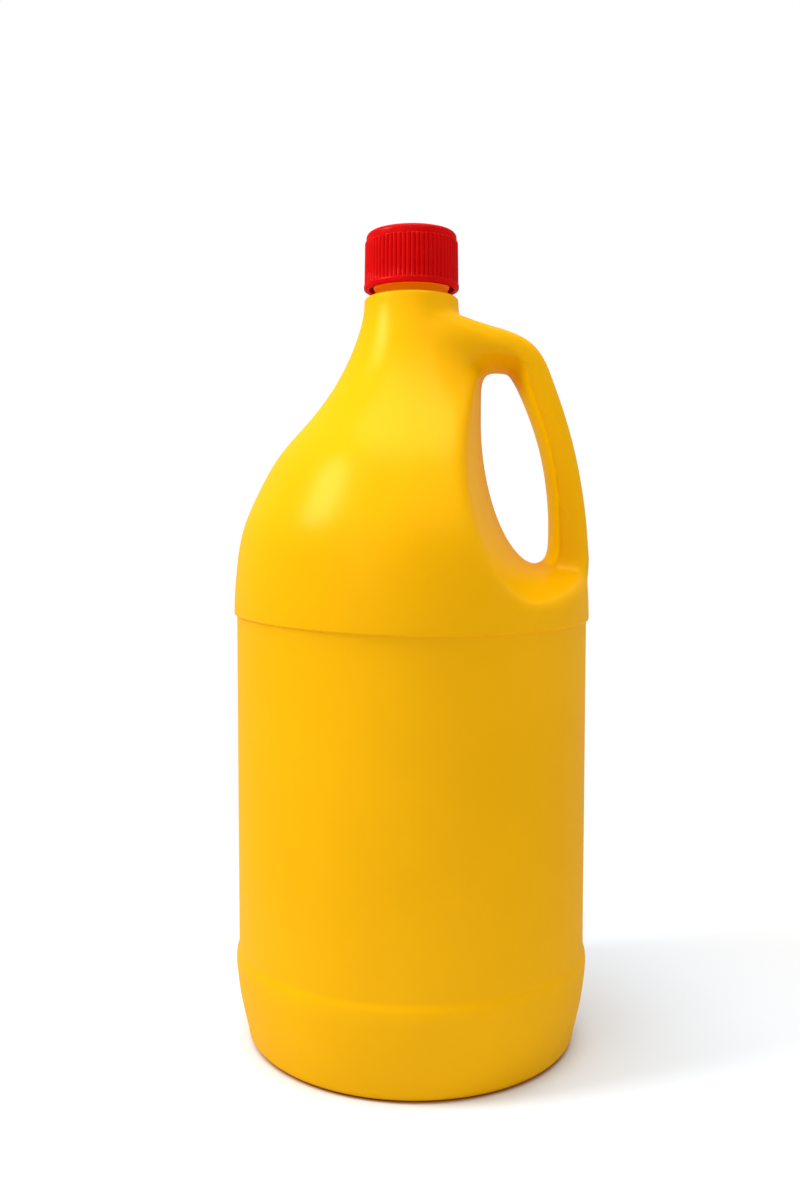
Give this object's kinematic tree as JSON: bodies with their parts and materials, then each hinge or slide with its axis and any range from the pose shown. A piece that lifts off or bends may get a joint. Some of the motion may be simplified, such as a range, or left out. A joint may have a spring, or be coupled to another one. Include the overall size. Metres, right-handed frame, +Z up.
{
  "type": "detergent jug",
  "caption": "Round blow-moulded jug with a hollow side handle in its shoulder and a ribbed screw cap that unscrews.",
  "frame": {"origin": "centre of the standing ring, on the surface the jug stands on", "axes": "+Z up along the axis of the body, neck and cap; +X towards the handle"},
  "size_m": [0.153, 0.153, 0.3457],
  "materials": {
    "yellow_polyethylene": "satin blow-moulded polyethylene",
    "red_polypropylene": "semi-gloss moulded polypropylene",
    "white_foam": "fine-celled foam"
  },
  "bodies": {
    "bottle": {"bottle": "yellow_polyethylene"},
    "liner": {"liner": "white_foam"},
    "cap": {"cap": "red_polypropylene"}
  },
  "joints": [
    {"name": "cap_rise", "type": "slide", "parent": "bottle", "child": "liner", "axis": [0, 0, 1], "range_m": [0, 0.0255]},
    {"name": "cap_turn", "type": "hinge", "parent": "liner", "child": "cap", "pos_m": [0, 0, 0.3333], "axis": [0, 0, 1], "range_deg": [0, 1440]}
  ],
  "couplings": [
    {"joint": "cap_rise", "follows": "cap_turn", "m_per_rad": 0.0010106}
  ]
}
